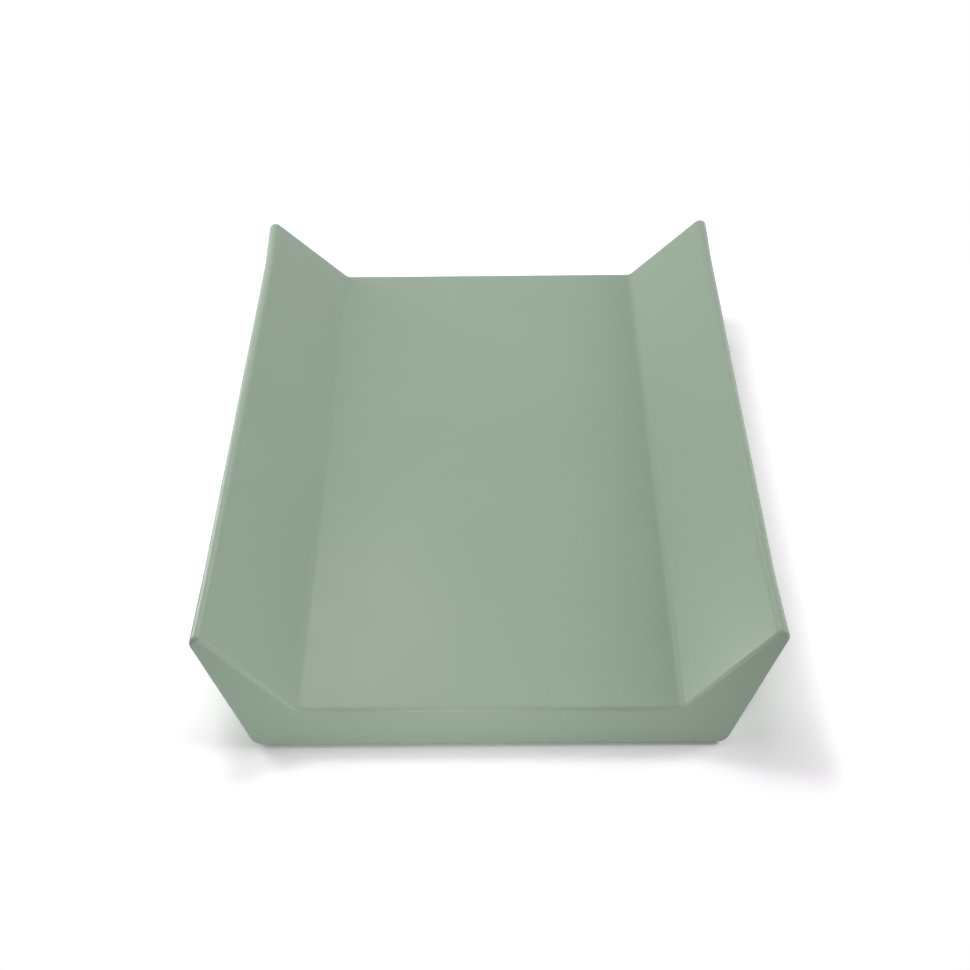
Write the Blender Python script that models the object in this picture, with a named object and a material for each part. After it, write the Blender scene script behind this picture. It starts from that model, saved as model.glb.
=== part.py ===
"""Soft moulded changing mat with two raised side wings, as separate pieces.

+X points to the right wing, +Y to the far end and +Z up. The origin lies on the
resting plane, under the middle of the mat. All lengths are in metres.
"""

import math
from typing import NamedTuple

import bmesh
import bpy
from mathutils import Vector

# Overall sizes
OVERALL_WIDTH = 0.500  # across the outermost lines of the two rims
OVERALL_LENGTH = 0.700  # end to end, at the widest line just above the underside
OVERALL_HEIGHT = 0.120  # resting plane to the top of the rims

# Cross-section, given at its sharp corners before they are rounded
LYING_HEIGHT = 0.0435  # resting plane to the lying face
LYING_WIDTH = 0.334  # between the corners where the wings start to rise
BASE_WIDTH = 0.4105  # between the outer corners of the underside
RIM_RADIUS = 0.007  # roll over the top of each wing
CREASE_RADIUS = 0.010  # hollow where a wing meets the lying face
BASE_EDGE_RADIUS = 0.012  # long lower edges

# Ends
END_DRAFT = math.radians(7.0)  # each end leans inwards as it rises
LYING_END_RADIUS = 0.0016  # edge between the lying side and an end
CORNER_RADIUS = 0.003  # foot of the upright corners, which sharpen towards the rim
BASE_END_RADIUS = 0.005  # edge between the underside and an end
LARGEST_ROUND_SHARE = 0.8  # of the skin's thickness that an edge of it may be rounded

# Skins, foam and the bond between them
SKIN_THICKNESS = 0.002
BOND_GAP = 0.0003  # bond line between any two pieces
WING_LAND = 0.002  # flat strip of wing foam beside the crease

# Anti-slip pads, set into shallow round recesses of the underside
PAD_RADIUS = 0.020
PAD_THICKNESS = 0.0017
PAD_EDGE_RADIUS = 0.0007
PAD_RECESS_DEPTH = 0.0008
PAD_SIDE_MARGIN = 0.055  # outer corner of the underside to a pad's centre
PAD_END_MARGIN = 0.060  # end of the mat to a pad's centre

CUT_OVERRUN = 0.010  # how far a cutter runs past what it cuts
MERGE_DISTANCE = 1e-6

# Counts of facets
RIM_STEPS = 12
CREASE_STEPS = 6
BASE_EDGE_STEPS = 6
END_STEPS = 4
PAD_STEPS = 32
PAD_EDGE_STEPS = 3

SHARP_ANGLE = math.radians(35)

# Sizes that follow from the ones above
UNDERSIDE_HEIGHT = PAD_THICKNESS + BOND_GAP - PAD_RECESS_DEPTH
FOAM_DEPTH = SKIN_THICKNESS + BOND_GAP
TOP_END_RADIUS = min(LYING_END_RADIUS, SKIN_THICKNESS * LARGEST_ROUND_SHARE)


class OutlinePoint(NamedTuple):
    """A point of the cross-section, the way out of the mat there, and its end radius."""

    x: float
    z: float
    out_x: float
    out_z: float
    end_radius: float

    def inset(self, depth):
        return OutlinePoint(
            self.x - self.out_x * depth,
            self.z - self.out_z * depth,
            self.out_x,
            self.out_z,
            max(self.end_radius - depth, 0.0),
        )

    def along(self, distance):
        """The point moved along the surface, in the direction that the outline runs."""
        return self._replace(
            x=self.x - self.out_z * distance, z=self.z + self.out_x * distance
        )

    def mirrored(self):
        return self._replace(x=-self.x, out_x=-self.out_x)


def inset(outline, depth):
    return [point.inset(depth) for point in outline]


def mirrored(outline):
    return [point.mirrored() for point in reversed(outline)]


def arc(centre, radius, start, end, steps, end_radii, hollow=False):
    """Outline points on an arc, where start and end are the angles of the outward way."""
    side = -1.0 if hollow else 1.0
    points = []
    for step in range(steps + 1):
        share = step / steps
        angle = start + (end - start) * share
        way = Vector((math.cos(angle), math.sin(angle)))
        place = Vector(centre) + way * radius * side
        end_radius = end_radii[0] + (end_radii[1] - end_radii[0]) * share
        points.append(OutlinePoint(place.x, place.y, way.x, way.y, end_radius))
    return points


def tangent_angle(corner, centre, radius, side):
    """Direction of the line from a corner that touches a circle on one side."""
    reach = Vector(centre) - Vector(corner)
    return math.atan2(reach.y, reach.x) + side * math.asin(radius / reach.length)


def right_half():
    """The right half of the cross-section: its lower and its upper run of points."""
    down = -math.pi / 2
    up = math.pi / 2
    rim_centre = (OVERALL_WIDTH / 2 - RIM_RADIUS, OVERALL_HEIGHT - RIM_RADIUS)

    base_corner = (BASE_WIDTH / 2, UNDERSIDE_HEIGHT)
    wall_way = tangent_angle(base_corner, rim_centre, RIM_RADIUS, -1) - up
    base_run = BASE_EDGE_RADIUS * math.tan((wall_way - down) / 2)
    base_centre = (base_corner[0] - base_run, UNDERSIDE_HEIGHT + BASE_EDGE_RADIUS)
    base_edge = arc(
        base_centre, BASE_EDGE_RADIUS, down, wall_way, BASE_EDGE_STEPS,
        (BASE_END_RADIUS, CORNER_RADIUS),
    )

    crease_corner = (LYING_WIDTH / 2, LYING_HEIGHT)
    slope_way = tangent_angle(crease_corner, rim_centre, RIM_RADIUS, 1) + up
    crease_run = CREASE_RADIUS * math.tan((slope_way - up) / 2)
    crease_centre = (crease_corner[0] - crease_run, LYING_HEIGHT + CREASE_RADIUS)
    top_end_radii = (TOP_END_RADIUS, TOP_END_RADIUS)
    rim = arc(rim_centre, RIM_RADIUS, wall_way, slope_way, RIM_STEPS, top_end_radii)
    crease = arc(
        crease_centre, CREASE_RADIUS, slope_way, up, CREASE_STEPS, top_end_radii, hollow=True
    )
    wall_top = rim[0].along(-BOND_GAP)
    return base_edge + [wall_top], rim + crease


def end_height_loss(z):
    """How far an end has leaned in at a height."""
    return math.tan(END_DRAFT) * (z - UNDERSIDE_HEIGHT - BASE_END_RADIUS)


def ring(bm, outline, end_depth, end, turn):
    """One ring of vertices near an end: turn 0 is on the sides, a quarter turn on the end."""
    vertices = []
    for point in outline:
        drawn = point.inset(point.end_radius * (1 - math.cos(turn)))
        face = OVERALL_LENGTH / 2 - end_height_loss(drawn.z)
        face -= end_depth / math.cos(END_DRAFT)
        y = end * (face - point.end_radius * (1 - math.sin(turn)))
        vertices.append(bm.verts.new((drawn.x, y, drawn.z)))
    return vertices


def cap_whole(bm, end_ring):
    bm.faces.new(end_ring)


def cap_strip(bm, end_ring):
    """Closes the end of a bent strip, whose outline runs out on one side and back on the other."""
    for index in range(len(end_ring) // 2 - 1):
        partner = len(end_ring) - 1 - index
        bm.faces.new(
            (end_ring[index], end_ring[index + 1], end_ring[partner - 1], end_ring[partner])
        )


def lofted(name, outline, end_depth, cap=cap_whole):
    """A closed solid with the outline as its section, and both ends rounded off."""
    bm = bmesh.new()
    quarter = math.pi / 2
    turns = [quarter * (1 - step / END_STEPS) for step in range(END_STEPS + 1)]
    rings = [ring(bm, outline, end_depth, -1, turn) for turn in turns]
    rings += [ring(bm, outline, end_depth, 1, turn) for turn in reversed(turns)]
    for first, second in zip(rings, rings[1:]):
        for index in range(len(outline)):
            following = (index + 1) % len(outline)
            bm.faces.new((first[index], first[following], second[following], second[index]))
    cap(bm, rings[0])
    cap(bm, rings[-1])
    bmesh.ops.remove_doubles(bm, verts=bm.verts, dist=MERGE_DISTANCE)
    bmesh.ops.recalc_face_normals(bm, faces=bm.faces)
    return finished(name, bm)


def turned(name, profile, steps):
    """A closed solid of revolution from (radius, height) pairs that start and end on its axis."""
    bm = bmesh.new()
    line = [bm.verts.new((radius, 0, height)) for radius, height in profile]
    edges = [bm.edges.new(pair) for pair in zip(line, line[1:])]
    bmesh.ops.spin(
        bm, geom=line + edges, cent=(0, 0, 0), axis=(0, 0, 1), angle=2 * math.pi,
        steps=steps, use_merge=True,
    )
    bmesh.ops.remove_doubles(bm, verts=bm.verts, dist=MERGE_DISTANCE)
    bmesh.ops.recalc_face_normals(bm, faces=bm.faces)
    return finished(name, bm)


def finished(name, bm):
    mesh = bpy.data.meshes.new(name)
    bm.to_mesh(mesh)
    bm.free()
    mesh.shade_smooth()
    mesh.set_sharp_from_angle(angle=SHARP_ANGLE)
    piece = bpy.data.objects.new(name, mesh)
    bpy.context.collection.objects.link(piece)
    return piece


def material(name, colour, roughness):
    surface = bpy.data.materials.new(name)
    surface.use_nodes = True
    shader = surface.node_tree.nodes["Principled BSDF"]
    shader.inputs["Base Color"].default_value = (*colour, 1.0)
    shader.inputs["Roughness"].default_value = roughness
    shader.inputs["Metallic"].default_value = 0.0
    return surface


def skin_material():
    return material("soft_touch_sage_skin", (0.335, 0.425, 0.335), 0.55)


def foam_material():
    return material("cream_foam", (0.78, 0.71, 0.55), 0.95)


def pad_material():
    return material("grey_green_anti_slip_rubber", (0.13, 0.16, 0.13), 0.80)


def cut(piece, cutter):
    cutter.hide_render = True
    cutter.display_type = "WIRE"
    boolean = piece.modifiers.new(cutter.name, "BOOLEAN")
    boolean.operation = "DIFFERENCE"
    boolean.solver = "EXACT"
    boolean.object = cutter


def top_skin(upper):
    """Skin of the lying side: floor, inner wing faces and over both rims."""
    outer = upper + mirrored(upper)
    inner = [point._replace(end_radius=0.0) for point in inset(outer, SKIN_THICKNESS)]
    return lofted("top_skin", outer + inner[::-1], 0.0, cap=cap_strip)


def lower_skin(lower, upper):
    """Open tray of skin: underside, outer walls and the two ends, up to the seam."""
    wall_top = lower[-1].inset(FOAM_DEPTH)
    lid_half = [wall_top] + inset(upper, FOAM_DEPTH)
    lid = lid_half + mirrored(lid_half)
    lid = [point._replace(end_radius=0.0) for point in lid]
    tray = lofted("lower_skin", mirrored(lower) + lower + lid, 0.0)

    inner = inset(lower, SKIN_THICKNESS)
    mouth = inner[-1].along(OVERALL_HEIGHT + CUT_OVERRUN - inner[-1].z)
    cavity = lofted("lower_skin_cavity", mirrored(inner + [mouth]) + inner + [mouth], SKIN_THICKNESS)
    cut(tray, cavity)
    return tray


def joint_half_width(upper):
    """Half the width between the two glue faces, from the foot of the crease."""
    return upper[-1].x - WING_LAND


def glue_line(x):
    """The low and the high end of an upright line through the base, on the mat's surfaces."""
    low = OutlinePoint(x, UNDERSIDE_HEIGHT, 0.0, -1.0, BASE_END_RADIUS)
    high = OutlinePoint(x, LYING_HEIGHT, 0.0, 1.0, TOP_END_RADIUS)
    return low, high


def base_foam_core(upper):
    """Slab of foam under the lying face, between the two glue faces."""
    low, high = glue_line(joint_half_width(upper) - BOND_GAP / 2)
    right = inset([low, high], FOAM_DEPTH)
    return lofted("base_foam_core", mirrored(right) + right, FOAM_DEPTH)


def wing_outline(lower, upper):
    """Section of the right wing's foam, outside the glue face."""
    low, high = glue_line(joint_half_width(upper) + BOND_GAP / 2)
    base_edge = lower[:-1]
    return inset([low] + base_edge + upper + [high], FOAM_DEPTH)


def pad_profile():
    """Half section of a pad: flat on both sides, with its lower edge rounded."""
    profile = [(0.0, PAD_THICKNESS), (PAD_RADIUS, PAD_THICKNESS)]
    for step in range(PAD_EDGE_STEPS + 1):
        turn = math.pi / 2 * step / PAD_EDGE_STEPS
        radius = PAD_RADIUS - PAD_EDGE_RADIUS * (1 - math.cos(turn))
        profile.append((radius, PAD_EDGE_RADIUS * (1 - math.sin(turn))))
    profile.append((0.0, 0.0))
    return profile


def recess_profile():
    """Half section of the cutter for a pad's recess."""
    radius = PAD_RADIUS + BOND_GAP
    roof = UNDERSIDE_HEIGHT + PAD_RECESS_DEPTH
    floor = -CUT_OVERRUN
    return [(0.0, roof), (radius, roof), (radius, floor), (0.0, floor)]


def pad_places():
    """The four pads by name, each with its place on the resting plane."""
    x = BASE_WIDTH / 2 - PAD_SIDE_MARGIN
    y = OVERALL_LENGTH / 2 - PAD_END_MARGIN
    places = {}
    for end, end_side in (("front", -1), ("rear", 1)):
        for side, x_side in (("left", -1), ("right", 1)):
            places[f"anti_slip_pad_{end}_{side}"] = (x * x_side, y * end_side, 0.0)
    return places


def build():
    for old in list(bpy.data.objects):
        bpy.data.objects.remove(old)
    mat = bpy.data.objects.new("changing_mat", None)
    bpy.context.collection.objects.link(mat)

    lower, upper = right_half()
    skin = skin_material()
    foam = foam_material()
    rubber = pad_material()

    tray = lower_skin(lower, upper)
    right_wing = wing_outline(lower, upper)
    pieces = [
        (top_skin(upper), skin),
        (tray, skin),
        (base_foam_core(upper), foam),
        (lofted("right_wing_foam_core", right_wing, FOAM_DEPTH), foam),
        (lofted("left_wing_foam_core", mirrored(right_wing), FOAM_DEPTH), foam),
    ]
    for name, place in pad_places().items():
        pad = turned(name, pad_profile(), PAD_STEPS)
        pad.location = place
        pieces.append((pad, rubber))
        recess = turned(f"{name}_recess", recess_profile(), PAD_STEPS)
        recess.location = place
        cut(tray, recess)

    for piece, surface in pieces:
        piece.data.materials.append(surface)
        piece.parent = mat


build()
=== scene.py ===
"""Looks of a soft moulded changing mat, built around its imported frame.

The mat is a soft-touch skin in two halves over three pieces of foam, and lies on four
rubber pads. All lengths are in metres: +X points to the right wing, +Y to the far end
and +Z up, from the resting plane under the middle of the mat.
"""

import math
from typing import NamedTuple

import bmesh
import bpy
import numpy as np
from mathutils import Matrix, Vector, noise


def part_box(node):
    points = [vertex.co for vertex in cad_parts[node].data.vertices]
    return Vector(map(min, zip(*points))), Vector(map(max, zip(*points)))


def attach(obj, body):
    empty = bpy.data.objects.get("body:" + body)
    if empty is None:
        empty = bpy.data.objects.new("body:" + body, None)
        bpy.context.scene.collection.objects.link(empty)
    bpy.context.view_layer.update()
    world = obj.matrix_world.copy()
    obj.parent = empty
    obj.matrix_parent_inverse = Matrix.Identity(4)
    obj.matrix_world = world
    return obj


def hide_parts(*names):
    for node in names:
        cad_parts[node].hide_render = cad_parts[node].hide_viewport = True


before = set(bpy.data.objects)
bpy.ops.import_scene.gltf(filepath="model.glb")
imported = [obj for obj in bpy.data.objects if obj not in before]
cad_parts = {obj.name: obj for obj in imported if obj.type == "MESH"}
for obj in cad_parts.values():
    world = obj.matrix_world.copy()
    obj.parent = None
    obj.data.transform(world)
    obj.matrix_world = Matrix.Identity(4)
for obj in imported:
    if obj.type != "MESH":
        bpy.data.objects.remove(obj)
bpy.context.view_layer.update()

MM = 0.001

# Sizes read from the frame
skin_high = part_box("top_skin")[1]
tray_low, tray_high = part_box("lower_skin")
HALF_WIDTH = skin_high.x
HALF_LENGTH = tray_high.y
TOP_HEIGHT = skin_high.z
UNDERSIDE_HEIGHT = tray_low.z

# Cross-section, given at its sharp corners as in the frame
LYING_HEIGHT = 43.5 * MM
LYING_WIDTH = 334 * MM
BASE_WIDTH = 410.5 * MM
RIM_RADIUS = 7 * MM
CREASE_RADIUS = 10 * MM
BASE_EDGE_RADIUS = 12 * MM
END_DRAFT = math.radians(7.0)

# How far the edges of the two ends are rounded, at each part of the cross-section
BASE_END_RADIUS = 5 * MM
CORNER_RADIUS = 3 * MM
RIM_END_RADIUS = 4 * MM
LYING_END_RADIUS = 2.8 * MM

# Skin
SKIN_THICKNESS = 1.5 * MM
SKIN_SUBDIVISIONS = 1

# The lying face is lightly crowned. The powers say how it falls off: across, on the left and
# on the right, and along, at the front and at the far end.
LYING_CROWN = 4.4 * MM
CROWN_SIDE_POWERS = (2, 1.15)
CROWN_END_POWERS = (5, 6)

# Slight unevenness of moulded foam
UNDULATION = 0.15 * MM
UNDULATION_LENGTH = 110 * MM

# How far each end of a wing spreads and rises, by its side and end: -1 is the left side
# and the front end. The soft mat in the photo isn't quite even.
WING_ENDS = {
    (-1, -1): (1.1 * MM, 0.0),
    (1, -1): (1.6 * MM, 3.4 * MM),
    (-1, 1): (2.4 * MM, 3.4 * MM),
    (1, 1): (0.8 * MM, 3.0 * MM),
}
WING_END_LENGTH = 110 * MM

# Soft groove where the two halves of the skin meet, across the ends of the lying face and
# along the outer walls. It fades out up the ends of the wings, between two distances from
# the middle. The turn is how far round the edge of an end it lies.
LYING_GROOVE_DEPTH = 0.8 * MM
WALL_GROOVE_DEPTH = 0.3 * MM
LYING_GROOVE_WIDTH = 1.6 * MM
WALL_GROOVE_WIDTH = 0.8 * MM
GROOVE_FADE = (125 * MM, 166 * MM)
SEAM_TURN = math.radians(75)

# Steps of the skin's control mesh. The offsets are how far the last points before the seam
# lie from it, and the flats how far in on an end its last rings lie.
BASE_STEPS = 20
EDGE_STEPS = 9
WALL_STEPS = 12
SEAM_OFFSETS = (2.4 * MM, 1.6 * MM, 1.1 * MM, 0.7 * MM, 0.35 * MM)
RIM_STEPS = 14
END_STEPS = 12
END_FLATS = (0.5 * MM, 1.2 * MM, 2.0 * MM)
LENGTH_STEPS = 72
CAP_STEPS = 8


class Point(NamedTuple):
    """A point of the cross-section: its place, the way out of the mat there, how far it
    is rounded at the ends, and its share of an exposed edge."""

    x: float
    z: float
    out_x: float
    out_z: float
    end_radius: float
    edge: float = 0.0

    def mirrored(self):
        return self._replace(x=-self.x, out_x=-self.out_x)


def arc(centre, radius, start, end, steps, end_radii, edge=0.0, hollow=False):
    """Points on an arc, where start and end are the angles of the outward way."""
    side = -1.0 if hollow else 1.0
    points = []
    for step in range(steps + 1):
        share = step / steps
        angle = start + (end - start) * share
        way = Vector((math.cos(angle), math.sin(angle)))
        place = Vector(centre) + way * radius * side
        end_radius = end_radii[0] + (end_radii[1] - end_radii[0]) * share
        points.append(Point(place.x, place.y, way.x, way.y, end_radius, edge))
    return points


def between(first, last, shares):
    """Points on the straight line between two points, without its ends."""
    a = np.array(first)
    b = np.array(last)
    return [Point(*(a + (b - a) * share)) for share in shares]


def even(steps):
    return [step / steps for step in range(1, steps)]


def tangent_angle(corner, centre, radius, side):
    """Direction of the line from a corner that touches a circle on one side."""
    reach = Vector(centre) - Vector(corner)
    return math.atan2(reach.y, reach.x) + side * math.asin(radius / reach.length)


def right_half():
    """Right half of the cross-section, from the middle of the underside round to the
    middle of the lying face, and the number of its point on the seam. Both runs, below and
    above the middle of the rim, have as many points, so that they pair up across an end."""
    down = -math.pi / 2
    up = math.pi / 2
    rim_centre = (HALF_WIDTH - RIM_RADIUS, TOP_HEIGHT - RIM_RADIUS)
    base_corner = (BASE_WIDTH / 2, UNDERSIDE_HEIGHT)
    lying_corner = (LYING_WIDTH / 2, LYING_HEIGHT)

    wall_way = tangent_angle(base_corner, rim_centre, RIM_RADIUS, -1) - up
    slope_way = tangent_angle(lying_corner, rim_centre, RIM_RADIUS, 1) + up
    rim_top = (wall_way + slope_way) / 2
    base_run = BASE_EDGE_RADIUS * math.tan((wall_way - down) / 2)
    crease_run = CREASE_RADIUS * math.tan((slope_way - up) / 2)

    base_edge = arc(
        (base_corner[0] - base_run, UNDERSIDE_HEIGHT + BASE_EDGE_RADIUS), BASE_EDGE_RADIUS,
        down, wall_way, EDGE_STEPS, (BASE_END_RADIUS, CORNER_RADIUS), edge=0.5,
    )
    rim_end_radii = (RIM_END_RADIUS, RIM_END_RADIUS)
    outer_rim = arc(
        rim_centre, RIM_RADIUS, wall_way, rim_top, RIM_STEPS,
        (CORNER_RADIUS, RIM_END_RADIUS), edge=1.0,
    )
    inner_rim = arc(
        rim_centre, RIM_RADIUS, rim_top, slope_way, RIM_STEPS, rim_end_radii, edge=1.0,
    )
    crease = arc(
        (lying_corner[0] - crease_run, LYING_HEIGHT + CREASE_RADIUS), CREASE_RADIUS,
        slope_way, up, EDGE_STEPS, (LYING_END_RADIUS, LYING_END_RADIUS), hollow=True,
    )

    base_middle = Point(0.0, UNDERSIDE_HEIGHT, 0.0, -1.0, BASE_END_RADIUS)
    lying_middle = Point(0.0, LYING_HEIGHT, 0.0, 1.0, LYING_END_RADIUS)
    wall_length = math.dist(base_edge[-1][:2], outer_rim[0][:2])
    seam_shares = [1 - offset / wall_length for offset in SEAM_OFFSETS]
    wall_shares = [share * seam_shares[0] for share in even(WALL_STEPS)] + seam_shares
    slope_steps = len(wall_shares) + 1

    lower = [base_middle] + between(base_middle, base_edge[0], even(BASE_STEPS))
    lower += base_edge + between(base_edge[-1], outer_rim[0], wall_shares)
    seam = len(lower)
    upper = between(inner_rim[-1], crease[0], even(slope_steps)) + crease
    upper += between(crease[-1], lying_middle, even(BASE_STEPS)) + [lying_middle]
    return lower + outer_rim[:-1] + inner_rim + upper, seam


def end_face(z):
    """How far out an end reaches at a height."""
    return HALF_LENGTH - math.tan(END_DRAFT) * (z - UNDERSIDE_HEIGHT - BASE_END_RADIUS)


class Skin:
    """The closed outer surface of the mat, as rings round its section and two end caps.

    Each vertex knows its distance from the seam between the two halves of the skin, and
    its share of an exposed edge.
    """

    def __init__(self):
        half, self.seam = right_half()
        left = [point.mirrored() for point in half[-2:0:-1]]
        self.outline = np.array(half + left)
        self.half_count = len(half)
        self.count = len(self.outline)
        self.past_seam = self.distances_past_seam()
        self.places = []
        self.seam_distance = []
        self.edge = []
        self.faces = []
        self.add_rings()
        self.add_cap(0)
        self.add_cap(self.ring_count - 1)

    def distances_past_seam(self):
        """Length along the section from the seam, above 0 on the lying side."""
        steps = np.linalg.norm(np.diff(self.outline[: self.half_count, :2], axis=0), axis=1)
        along = np.concatenate(([0.0], np.cumsum(steps)))
        right = along - along[self.seam]
        return np.concatenate((right, right[-2:0:-1]))

    def add_rings(self):
        turns = [math.pi / 2 * step / END_STEPS for step in range(END_STEPS, 0, -1)]
        stages = [(math.pi / 2, flat) for flat in reversed(END_FLATS)]
        stages += [(turn, 0.0) for turn in turns]
        for turn, flat in stages:
            self.add_end_ring(-1, turn, flat)
        for step in range(LENGTH_STEPS + 1):
            self.add_side_ring(2 * step / LENGTH_STEPS - 1)
        for turn, flat in reversed(stages):
            self.add_end_ring(1, turn, flat)

        self.ring_count = len(self.places) // self.count
        seam_ring = [turn for turn, flat in stages].index(turns[-1]) + 1
        seam_ring -= round(SEAM_TURN / turns[-1])
        self.seam_rings = (seam_ring, self.ring_count - 1 - seam_ring)
        for ring in range(self.ring_count - 1):
            for index in range(self.count):
                following = (index + 1) % self.count
                self.faces.append((
                    ring * self.count + index,
                    ring * self.count + following,
                    (ring + 1) * self.count + following,
                    (ring + 1) * self.count + index,
                ))

    def add_end_ring(self, end, turn, flat):
        """A ring round an end's edge. Turn 0 is on the sides, a quarter turn on the end."""
        x, z, out_x, out_z, radius, edge = self.outline.T
        drawn = radius * (1 - math.cos(turn)) + flat
        places = np.stack((x - out_x * drawn, np.zeros_like(x), z - out_z * drawn), axis=1)
        places[:, 1] = end * (end_face(places[:, 2]) - radius * (1 - math.sin(turn)))
        past = radius * (turn - SEAM_TURN) + flat
        bare_edge = np.maximum(edge, math.sin(2 * turn))
        self.add_ring(places, past, bare_edge)

    def add_side_ring(self, share):
        """A ring round the sides, at -1 by the edge of the front end and 1 by the far one."""
        x, z, _, _, radius, edge = self.outline.T
        reach = end_face(z) - radius
        past = -(1 - abs(share)) * reach - radius * SEAM_TURN
        self.add_ring(np.stack((x, share * reach, z), axis=1), past, edge)

    def add_ring(self, places, past_end, edge):
        """Past_end is how far the ring lies past the end's seam, and below 0 before it."""
        side = self.past_seam
        on_top = np.where(past_end > 0, past_end, np.minimum(side, -past_end))
        below = np.where(past_end > 0, np.hypot(side, past_end), -side)
        self.places.extend(places)
        self.seam_distance.extend(np.where(side >= 0, on_top, below))
        self.edge.extend(edge)

    def add_cap(self, ring):
        """Closes an end with strips from the lower to the upper run of its last ring."""
        tip = (self.half_count - 1) // 2
        start = ring * self.count
        columns = []
        for index in range(-tip, tip + 1):
            low = start + index % self.count
            if abs(index) == tip:
                columns.append([low])
                continue
            opposite = self.half_count - 1 - abs(index)
            high = start + (opposite if index >= 0 else self.count - opposite)
            columns.append([low] + self.add_column(low, high) + [high])
        for first, second in zip(columns, columns[1:]):
            for row in range(CAP_STEPS):
                around = ((first, row), (second, row), (second, row + 1), (first, row + 1))
                corners = [column[min(place, len(column) - 1)] for column, place in around]
                self.faces.append(tuple(dict.fromkeys(corners)))

    def add_column(self, low, high):
        """Vertices up an end between two vertices of its ring."""
        a = np.array(self.places[low])
        b = np.array(self.places[high])
        first = len(self.places)
        for step in range(1, CAP_STEPS):
            self.places.append(a + (b - a) * step / CAP_STEPS)
            self.seam_distance.append(HALF_WIDTH)
            self.edge.append(0.0)
        return list(range(first, len(self.places)))

    def on_caps(self):
        """Numbers of the vertices on the flat of the two ends."""
        numbers = list(range(self.count))
        numbers += range((self.ring_count - 1) * self.count, len(self.places))
        return numbers

    def on_lying_side(self, number):
        """Whether a face belongs to the half of the skin on the lying side."""
        ring, index = divmod(number, self.count)
        first, last = self.seam_rings
        return first <= ring < last and self.seam <= index < self.count - self.seam


def smooth_step(low, high, value):
    share = np.clip((value - low) / (high - low), 0.0, 1.0)
    return share * share * (3 - 2 * share)


def outward(places, faces):
    """Outward ways at the vertices of a closed surface."""
    mesh = bpy.data.meshes.new("outward")
    mesh.from_pydata([tuple(place) for place in places], [], faces)
    bm = bmesh.new()
    bm.from_mesh(mesh)
    bmesh.ops.recalc_face_normals(bm, faces=bm.faces)
    bm.normal_update()
    ways = np.array([vertex.normal for vertex in bm.verts])
    bm.free()
    bpy.data.meshes.remove(mesh)
    return ways


def with_soft_wings(places):
    """The places with the ends of each wing spread and raised, more towards the rims."""
    x, y, z = places.T
    rise = np.clip((z - LYING_HEIGHT) / (TOP_HEIGHT - LYING_HEIGHT), 0.0, 1.0)
    near_end = smooth_step(HALF_LENGTH - WING_END_LENGTH, HALF_LENGTH, np.abs(y))
    moved = places.copy()
    for (side, end), (spread, lift) in WING_ENDS.items():
        share = rise * near_end * (side * x > 0) * (end * y > 0)
        moved[:, 0] += side * spread * share
        moved[:, 2] += lift * share
    return moved


def soft_relief(places, seam_distance):
    """How far each vertex moves outwards: the seam's groove, the crown of the lying face
    and the slight unevenness of moulded foam. Also the share of the groove at each."""
    x, y, z = places.T
    to_wing = smooth_step(*GROOVE_FADE, np.abs(x))
    from_end = end_face(z) - np.abs(y)
    to_wall = smooth_step(0.0, CREASE_RADIUS, from_end) * to_wing
    depth = LYING_GROOVE_DEPTH * (1 - to_wing) + WALL_GROOVE_DEPTH * to_wall
    width = LYING_GROOVE_WIDTH + (WALL_GROOVE_WIDTH - LYING_GROOVE_WIDTH) * to_wing
    groove = depth * np.exp(-((seam_distance / width) ** 2))

    side_fall = np.where(x < 0, *CROWN_SIDE_POWERS)
    end_fall = np.where(y < 0, *CROWN_END_POWERS)
    across = np.clip(1 - (2 * x / LYING_WIDTH) ** 2, 0.0, 1.0) ** side_fall
    along = np.clip(1 - np.abs(y / end_face(z)) ** end_fall, 0.0, 1.0)
    lying = (z > LYING_HEIGHT - CREASE_RADIUS) * across * along

    waves = np.array([noise.noise(Vector(place) / UNDULATION_LENGTH) for place in places])
    above_base = smooth_step(UNDERSIDE_HEIGHT, LYING_HEIGHT, z)
    relief = LYING_CROWN * lying + UNDULATION * waves * above_base - groove
    return relief, groove / LYING_GROOVE_DEPTH


def shell(name, outer, inner, faces, shares):
    """A closed shell between an outer and an inner surface with the same faces. Shares
    are values that its material reads, by name."""
    used = sorted({index for face in faces for index in face})
    place_of = {index: number for number, index in enumerate(used)}
    bm = bmesh.new()
    layers = [(bm.verts.layers.float.new(key), values) for key, values in shares.items()]
    sides = []
    for surface in (outer, inner):
        vertices = [bm.verts.new(surface[index]) for index in used]
        for vertex, index in zip(vertices, used):
            for layer, values in layers:
                vertex[layer] = values[index]
        sides.append(vertices)
    for face in faces:
        numbers = [place_of[index] for index in face]
        bm.faces.new([sides[0][number] for number in numbers])
        bm.faces.new([sides[1][number] for number in reversed(numbers)])
    bm.verts.index_update()
    count = len(used)
    sharpness = bm.edges.layers.float.new("crease_edge")
    for edge in [edge for edge in bm.edges if edge.is_boundary]:
        edge.smooth = False
        edge[sharpness] = 1.0
        a, b = edge.verts
        if a.index < count:
            bm.faces.new((a, b, sides[1][b.index], sides[1][a.index]))
    bmesh.ops.recalc_face_normals(bm, faces=bm.faces)
    return made(name, bm)


def made(name, bm):
    mesh = bpy.data.meshes.new(name)
    bm.to_mesh(mesh)
    bm.free()
    mesh.shade_smooth()
    piece = bpy.data.objects.new(name, mesh)
    bpy.context.collection.objects.link(piece)
    return piece


def subdivided(piece, levels):
    smoother = piece.modifiers.new("Smooth surface", "SUBSURF")
    smoother.levels = levels
    smoother.render_levels = levels
    return piece


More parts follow.
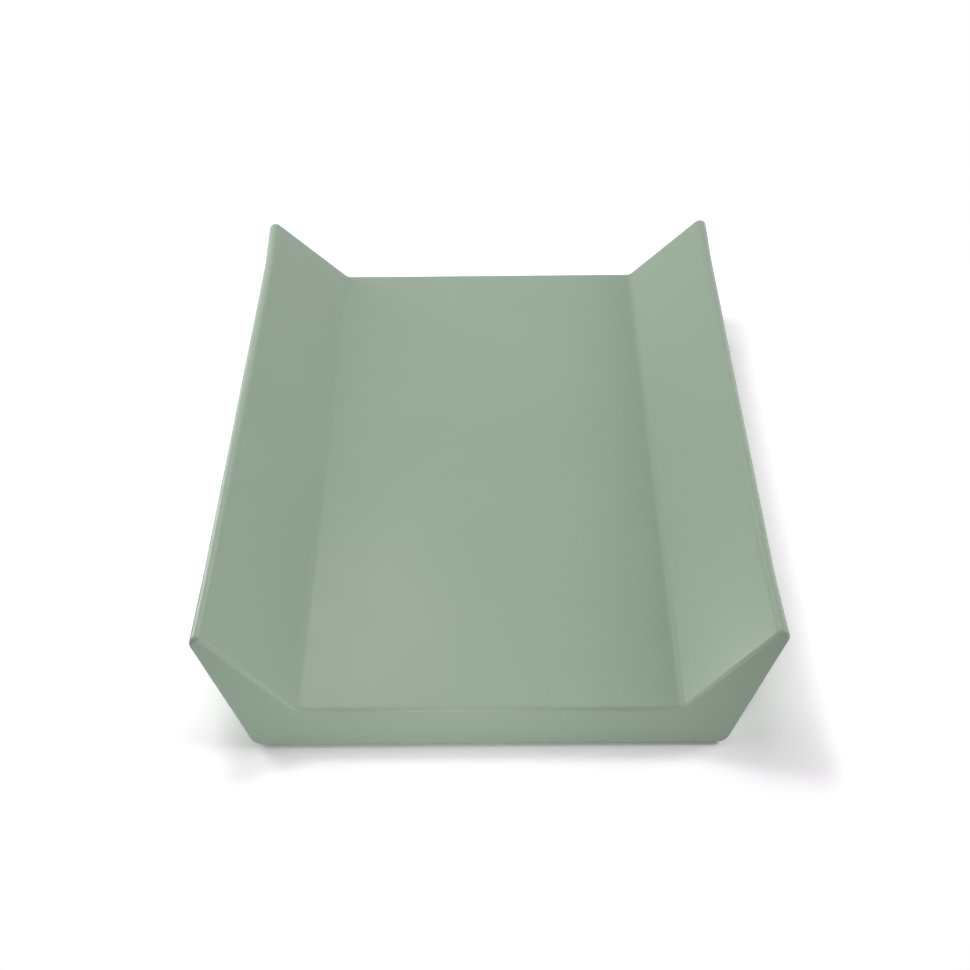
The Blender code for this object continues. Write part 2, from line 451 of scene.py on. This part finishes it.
def skin_halves():
    """The skin of the lying side, and that of the underside, walls and ends."""
    skin = Skin()
    places = np.array(skin.places)
    moves, groove = soft_relief(places, np.array(skin.seam_distance))
    places = with_soft_wings(places)
    ways = outward(places, skin.faces)
    flat = skin.on_caps()
    ends = np.sign(places[flat, 1])
    ways[flat] = np.stack(
        (0 * ends, ends * math.cos(END_DRAFT), 0 * ends + math.sin(END_DRAFT)), axis=1
    )
    outer = places + ways * moves[:, None]
    inner = places - ways * SKIN_THICKNESS
    shares = {"seam": groove, "edge": np.array(skin.edge)}
    lying = []
    rest = []
    for number, face in enumerate(skin.faces):
        (lying if skin.on_lying_side(number) else rest).append(face)
    return [
        subdivided(shell(name, outer, inner, faces, shares), SKIN_SUBDIVISIONS)
        for name, faces in (("lying_side_skin", lying), ("underside_and_wall_skin", rest))
    ]


# Foam: how finely it is remeshed, and how much its edges are then smoothed
FOAM_VOXEL = 5 * MM
FOAM_SMOOTHING_SHARE = 0.5
FOAM_SMOOTHINGS = 6


def foam_core(node):
    """A core with the softly rounded edges of moulded foam, in the space of its node."""
    core = bpy.data.objects.new(node + "_foam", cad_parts[node].data.copy())
    core.data.materials.clear()
    bpy.context.collection.objects.link(core)
    remesh = core.modifiers.new("Even faces", "REMESH")
    remesh.mode = "VOXEL"
    remesh.voxel_size = FOAM_VOXEL
    remesh.use_smooth_shade = True
    smooth = core.modifiers.new("Round edges", "SMOOTH")
    smooth.factor = FOAM_SMOOTHING_SHARE
    smooth.iterations = FOAM_SMOOTHINGS
    return core


# Pads: a moulded disc with fine rings round its underside for grip
PAD_STEPS = 96
PAD_EDGE_RADIUS = 0.7 * MM
PAD_EDGE_STEPS = 4
PAD_GROOVES = 6
PAD_GROOVE_DEPTH = 0.35 * MM
PAD_GROOVE_WAVE = (0.35, 0.9)
PAD_SAMPLES = 73
MERGE_DISTANCE = 0.001 * MM


def pad_profile(radius, thickness):
    """Half section of a pad, from the middle of its top round to the middle below."""
    profile = [(0.0, thickness), (radius - PAD_EDGE_RADIUS / 2, thickness)]
    profile += [(radius, thickness - PAD_EDGE_RADIUS / 2), (radius, PAD_EDGE_RADIUS)]
    flat = radius - PAD_EDGE_RADIUS
    for step in range(1, PAD_EDGE_STEPS + 1):
        turn = math.pi / 2 * step / PAD_EDGE_STEPS
        profile.append((
            flat + PAD_EDGE_RADIUS * math.cos(turn), PAD_EDGE_RADIUS * (1 - math.sin(turn))
        ))
    land = flat / (PAD_GROOVES + 1)
    for step in range(1, PAD_SAMPLES):
        place = flat * (1 - step / (PAD_SAMPLES - 1))
        wave = math.cos(2 * math.pi * place / land)
        in_groove = smooth_step(*PAD_GROOVE_WAVE, wave) * (place > land / 2)
        profile.append((place, PAD_GROOVE_DEPTH * in_groove))
    return profile


def pad(node):
    low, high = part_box(node)
    profile = pad_profile((high.x - low.x) / 2, high.z - low.z)
    bm = bmesh.new()
    line = [bm.verts.new((radius, 0, height)) for radius, height in profile]
    edges = [bm.edges.new(pair) for pair in zip(line, line[1:])]
    bmesh.ops.spin(
        bm, geom=line + edges, cent=(0, 0, 0), axis=(0, 0, 1), angle=2 * math.pi,
        steps=PAD_STEPS, use_merge=True,
    )
    bmesh.ops.remove_doubles(bm, verts=bm.verts, dist=MERGE_DISTANCE)
    bmesh.ops.recalc_face_normals(bm, faces=bm.faces)
    disc = made(node + "_disc", bm)
    disc.location = ((low.x + high.x) / 2, (low.y + high.y) / 2, low.z)
    return disc


class Nodes:
    """Short names for building a node tree."""

    def __init__(self, tree):
        self.tree = tree
        tree.nodes.clear()

    def add(self, kind, settings=(), **inputs):
        node = self.tree.nodes.new(kind)
        for key, value in dict(settings).items():
            setattr(node, key, value)
        for key, value in inputs.items():
            self.set(node, key.replace("_", " "), value)
        return node

    def set(self, node, key, value):
        socket = node.inputs[int(key)] if key.isdigit() else node.inputs[key]
        if isinstance(value, bpy.types.NodeSocket):
            self.tree.links.new(value, socket)
        else:
            socket.default_value = value


def noise_at(nodes, place, per_metre, detail):
    texture = nodes.add("ShaderNodeTexNoise", Vector=place, Scale=per_metre, Detail=detail)
    return texture.outputs["Fac"]


def mapped(nodes, value, low, high, to_low, to_high):
    node = nodes.add(
        "ShaderNodeMapRange", Value=value, From_Min=low, From_Max=high,
        To_Min=to_low, To_Max=to_high,
    )
    return node.outputs["Result"]


# Most of a noise texture lies between these values
NOISE_RANGE = (0.3, 0.7)


def varied(nodes, place, low, high, per_metre, detail):
    """Noise that mostly runs from a low to a high value."""
    return mapped(nodes, noise_at(nodes, place, per_metre, detail), *NOISE_RANGE, low, high)


def tinted(nodes, colour, value):
    """A colour made lighter or darker by a value near 1."""
    node = nodes.add("ShaderNodeVectorMath", {"operation": "SCALE"}, Scale=value)
    nodes.set(node, "Vector", colour)
    return node.outputs["Vector"]


def combined(nodes, operation, first, second):
    node = nodes.add("ShaderNodeMath", {"operation": operation})
    nodes.set(node, "0", first)
    nodes.set(node, "1", second)
    return node.outputs["Value"]


def product(nodes, first, second):
    return combined(nodes, "MULTIPLY", first, second)


def mixed(nodes, share, first, second):
    """One shader at a share of 0 and another at 1."""
    node = nodes.add("ShaderNodeMixShader", Fac=share)
    nodes.set(node, "1", first)
    nodes.set(node, "2", second)
    return node.outputs["Shader"]


def share_of(nodes, name):
    return nodes.add("ShaderNodeAttribute", {"attribute_name": name}).outputs["Fac"]


def new_material(name):
    material = bpy.data.materials.new(name)
    material.use_nodes = True
    nodes = Nodes(material.node_tree)
    place = nodes.add("ShaderNodeTexCoord").outputs["Object"]
    shader = nodes.add("ShaderNodeBsdfPrincipled")
    output = nodes.add("ShaderNodeOutputMaterial")
    nodes.set(output, "Surface", shader.outputs["BSDF"])
    return material, nodes, place, shader


SKIN_COLOUR = (0.335, 0.428, 0.335)
SKIN_SPECULAR = 0.19

# The roughness stays above 0.275 everywhere. The denoiser takes smoother skin for a mirror
# and leaves blotches where it begins.
SKIN_ROUGHNESS = 0.31
ROUGHNESS_SPREAD = 0.02
WORN_EDGE = 0.97

# Shares of the skin's colour: random mottling, painted shade in the seam's groove,
# and a painted highlight along the exposed edges
MOTTLE = (0.985, 1.015)
SEAM_PAINTED_SHADE = 0.86
EDGE_PAINTED_HIGHLIGHT = 1.02

# Fine grain and pores: how many there are to a metre, and how strongly they show
GRAIN_PER_METRE = 1100
GRAIN_STRENGTH = 0.12
GRAIN_DEPTH = 0.2 * MM
GRAIN_SOFTNESS = 0.6
PORES_PER_METRE = 2600
PORES_STRENGTH = 0.08
PORES_DEPTH = 0.1 * MM


def skin_material():
    """Satin soft-touch skin: an even colour with slight mottling and a fine grain, with
    painted shade in the seam's groove and a painted highlight along the exposed edges.
    """
    material, nodes, place, shader = new_material("soft_touch_skin")
    broad = varied(nodes, place, *MOTTLE, per_metre=7, detail=2)
    mottle = varied(nodes, place, *MOTTLE, per_metre=420, detail=3)
    # Painted shade: the skin's colour is darker in the seam's groove
    painted_seam_shade = mapped(nodes, share_of(nodes, "seam"), 0, 1, 1.0, SEAM_PAINTED_SHADE)
    # Painted highlight: the skin's colour is lighter along the exposed edges
    painted_edge_highlight = mapped(nodes, share_of(nodes, "edge"), 0, 1, 1.0, EDGE_PAINTED_HIGHLIGHT)
    shade = product(nodes, product(nodes, broad, mottle), product(nodes, painted_seam_shade, painted_edge_highlight))
    nodes.set(shader, "Base Color", tinted(nodes, SKIN_COLOUR, shade))

    roughness = varied(
        nodes, place, SKIN_ROUGHNESS - ROUGHNESS_SPREAD, SKIN_ROUGHNESS + ROUGHNESS_SPREAD,
        per_metre=30, detail=3,
    )
    worn = mapped(nodes, share_of(nodes, "edge"), 0, 1, 1.0, WORN_EDGE)
    nodes.set(shader, "Roughness", product(nodes, roughness, worn))
    shader.inputs["Specular IOR Level"].default_value = SKIN_SPECULAR

    cells = nodes.add(
        "ShaderNodeTexVoronoi", {"feature": "SMOOTH_F1"}, Vector=place,
        Scale=GRAIN_PER_METRE, Smoothness=GRAIN_SOFTNESS,
    )
    grain = nodes.add(
        "ShaderNodeBump", Height=cells.outputs["Distance"], Strength=GRAIN_STRENGTH,
        Distance=GRAIN_DEPTH,
    )
    pores = nodes.add(
        "ShaderNodeBump", Height=noise_at(nodes, place, PORES_PER_METRE, detail=2),
        Strength=PORES_STRENGTH, Distance=PORES_DEPTH, Normal=grain.outputs["Normal"],
    )
    nodes.set(shader, "Normal", pores.outputs["Normal"])
    return material


FOAM_COLOUR = (0.78, 0.71, 0.55)
FOAM_ROUGHNESS = 0.95
FOAM_CELLS_PER_METRE = 1400
FOAM_CELL_REACH = 0.6
FOAM_PIT_PAINTED_SHADES = (0.8, 1.05)
FOAM_CELL_DEPTH = 0.5 * MM
FOAM_CELL_STRENGTH = 0.5
FOAM_MOTTLE = (0.96, 1.04)


def foam_material():
    """Cream flexible foam with open cells, with painted shade in their pits."""
    material, nodes, place, shader = new_material("cream_foam")
    cells = nodes.add("ShaderNodeTexVoronoi", Vector=place, Scale=FOAM_CELLS_PER_METRE)
    # Painted shade: each cell is darker towards its middle, where the bump sinks a pit
    depth = mapped(
        nodes, cells.outputs["Distance"], 0, FOAM_CELL_REACH, *FOAM_PIT_PAINTED_SHADES
    )
    broad = varied(nodes, place, *FOAM_MOTTLE, per_metre=12, detail=3)
    nodes.set(shader, "Base Color", tinted(nodes, FOAM_COLOUR, product(nodes, depth, broad)))
    shader.inputs["Roughness"].default_value = FOAM_ROUGHNESS
    bump = nodes.add(
        "ShaderNodeBump", Height=cells.outputs["Distance"], Strength=FOAM_CELL_STRENGTH,
        Distance=FOAM_CELL_DEPTH,
    )
    nodes.set(shader, "Normal", bump.outputs["Normal"])
    return material


PAD_COLOUR = (0.13, 0.16, 0.13)
PAD_MOTTLE = (0.9, 1.1)
PAD_ROUGHNESS = (0.72, 0.86)
PAD_TOOTH_PER_METRE = 1800
PAD_TOOTH_STRENGTH = 0.3
PAD_TOOTH_DEPTH = 0.15 * MM


def pad_material():
    """Matt anti-slip rubber with a fine tooth."""
    material, nodes, place, shader = new_material("anti_slip_rubber")
    mottle = varied(nodes, place, *PAD_MOTTLE, per_metre=300, detail=4)
    nodes.set(shader, "Base Color", tinted(nodes, PAD_COLOUR, mottle))
    rough = varied(nodes, place, *PAD_ROUGHNESS, per_metre=120, detail=2)
    nodes.set(shader, "Roughness", rough)
    bump = nodes.add(
        "ShaderNodeBump", Height=noise_at(nodes, place, PAD_TOOTH_PER_METRE, detail=3),
        Strength=PAD_TOOTH_STRENGTH, Distance=PAD_TOOTH_DEPTH,
    )
    nodes.set(shader, "Normal", bump.outputs["Normal"])
    return material


WHITE = (1.0, 1.0, 1.0, 1.0)
FLOOR_SIZE = 12.0

# The floor's colour where it shows as the background, with the green that the mat casts on
# it taken out, and the share of the light that it throws back on to the mat
FLOOR_SEEN = (1.38, 1.34, 1.38, 1.0)
FLOOR_LIT = 0.85

# The floor keeps the mat's shadow up to the first distance from the middle, and is plain
# white past the second
SHADOW_REACH = (0.62, 0.76)


def shows_background(nodes):
    """1 for the rays that show the white background: in the view, in gloss and in glass."""
    path = nodes.add("ShaderNodeLightPath").outputs
    seen = combined(nodes, "MAXIMUM", path["Is Camera Ray"], path["Is Glossy Ray"])
    return combined(nodes, "MAXIMUM", seen, path["Is Transmission Ray"])


def floor():
    """Plain white floor that keeps the shadow of the mat. Only its upper side shows."""
    bm = bmesh.new()
    bmesh.ops.create_grid(bm, x_segments=1, y_segments=1, size=FLOOR_SIZE / 2)
    plane = made("floor", bm)
    material = bpy.data.materials.new("white_floor")
    material.use_nodes = True
    nodes = Nodes(material.node_tree)
    geometry = nodes.add("ShaderNodeNewGeometry").outputs
    shadowed = nodes.add("ShaderNodeBsdfDiffuse", Color=FLOOR_SEEN)
    white = nodes.add("ShaderNodeEmission", Color=WHITE, Strength=1.0)
    reach = nodes.add(
        "ShaderNodeVectorMath", {"operation": "LENGTH"}, Vector=geometry["Position"]
    ).outputs["Value"]
    past_shadow = mapped(nodes, reach, *SHADOW_REACH, 0, 1)
    seen = mixed(nodes, past_shadow, shadowed.outputs["BSDF"], white.outputs["Emission"])
    lit = nodes.add("ShaderNodeBsdfDiffuse", Color=(FLOOR_LIT,) * 3 + (1,))
    above = mixed(nodes, shows_background(nodes), lit.outputs["BSDF"], seen)
    below = nodes.add("ShaderNodeBsdfTransparent")
    both = mixed(nodes, geometry["Backfacing"], above, below.outputs["BSDF"])
    output = nodes.add("ShaderNodeOutputMaterial")
    nodes.set(output, "Surface", both)
    plane.data.materials.append(material)


SKY_STRENGTH = 0.03


def surroundings():
    """Even light from all round, and a white background where the camera looks past."""
    world = bpy.data.worlds.new("studio")
    world.use_nodes = True
    nodes = Nodes(world.node_tree)
    even_light = nodes.add("ShaderNodeBackground", Color=WHITE, Strength=SKY_STRENGTH)
    white = nodes.add("ShaderNodeBackground", Color=WHITE, Strength=1.0)
    both = mixed(
        nodes, shows_background(nodes), even_light.outputs["Background"],
        white.outputs["Background"],
    )
    output = nodes.add("ShaderNodeOutputWorld")
    nodes.set(output, "Surface", both)
    bpy.context.scene.world = world


class Softbox(NamedTuple):
    """A square studio light: its place, the length of its side, its watts and what it
    faces."""

    place: tuple
    size: float
    watts: float
    target: tuple = (0.0, 0.0, 0.04)


SOFTBOXES = {
    "key": Softbox((-0.79, 0.95, 2.62), 0.65, 18.6),
    "above": Softbox((0.0, 0.02, 2.60), 1.0, 8.6),
    "behind": Softbox((0.0, 1.30, 2.25), 1.0, 6.8),
    "right": Softbox((2.13, 0.0, 1.49), 1.0, 16.0),
    "low_behind_right": Softbox((1.80, 1.80, 0.54), 1.0, 2.0),
    "near_left": Softbox((-0.9, 0.2, 0.5), 0.5, 3.3, (-0.2, 0.0, 0.1)),
    "near_right": Softbox((0.9, -0.25, 0.5), 0.4, 1.2, (0.0, -0.3, 0.06)),
    "lying_face_sheen": Softbox((-0.44, 1.60, 1.96), 0.3, 5.3, (-0.1, -0.2, 0.04)),
    "right_wing_sheen": Softbox((-1.62, 1.14, 0.42), 0.5, 6.5, (0.2, -0.25, 0.07)),
    "front_card": Softbox((-0.045, -0.75, 0.11), 0.18, 0.96, (-0.045, -0.35, 0.04)),
}


def light_studio():
    for name, box in SOFTBOXES.items():
        light = bpy.data.lights.new(name, "AREA")
        light.shape = "SQUARE"
        light.size = box.size
        light.energy = box.watts
        lamp = bpy.data.objects.new(name, light)
        bpy.context.collection.objects.link(lamp)
        lamp.location = box.place
        way = Vector(box.target) - Vector(box.place)
        lamp.rotation_euler = way.to_track_quat("-Z", "Y").to_euler()


CAMERA_PLACE = (0.0084, -1.2853, 1.0716)
CAMERA_PAN = math.radians(0.573)
CAMERA_TILT = math.radians(50.335)
CAMERA_LEAN = math.radians(-0.806)
CAMERA_LENS = 59.68
CAMERA_SENSOR = 36.0


def camera():
    data = bpy.data.cameras.new("camera")
    data.lens = CAMERA_LENS
    data.sensor_width = CAMERA_SENSOR
    view = bpy.data.objects.new("camera", data)
    bpy.context.collection.objects.link(view)
    turn = Matrix.Rotation(CAMERA_PAN, 4, "Z") @ Matrix.Rotation(CAMERA_TILT, 4, "X")
    turn @= Matrix.Rotation(CAMERA_LEAN, 4, "Z")
    view.matrix_world = Matrix.Translation(CAMERA_PLACE) @ turn
    bpy.context.scene.camera = view


def dress():
    skin = skin_material()
    foam = foam_material()
    rubber = pad_material()

    lying_side, underside = skin_halves()
    for piece, node in ((lying_side, "top_skin"), (underside, "lower_skin")):
        place_piece(piece, skin, node)
    for node in ("base_foam_core", "left_wing_foam_core", "right_wing_foam_core"):
        core = foam_core(node)
        place_piece(core, foam, node)
    for end in ("front", "rear"):
        for side in ("left", "right"):
            node = f"anti_slip_pad_{end}_{side}"
            place_piece(pad(node), rubber, node)


def place_piece(piece, material, node):
    piece.data.materials.append(material)
    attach(piece, "root")
    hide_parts(node)


def main():
    bpy.context.scene.view_settings.view_transform = "Standard"
    camera()
    dress()
    floor()
    surroundings()
    light_studio()


main()
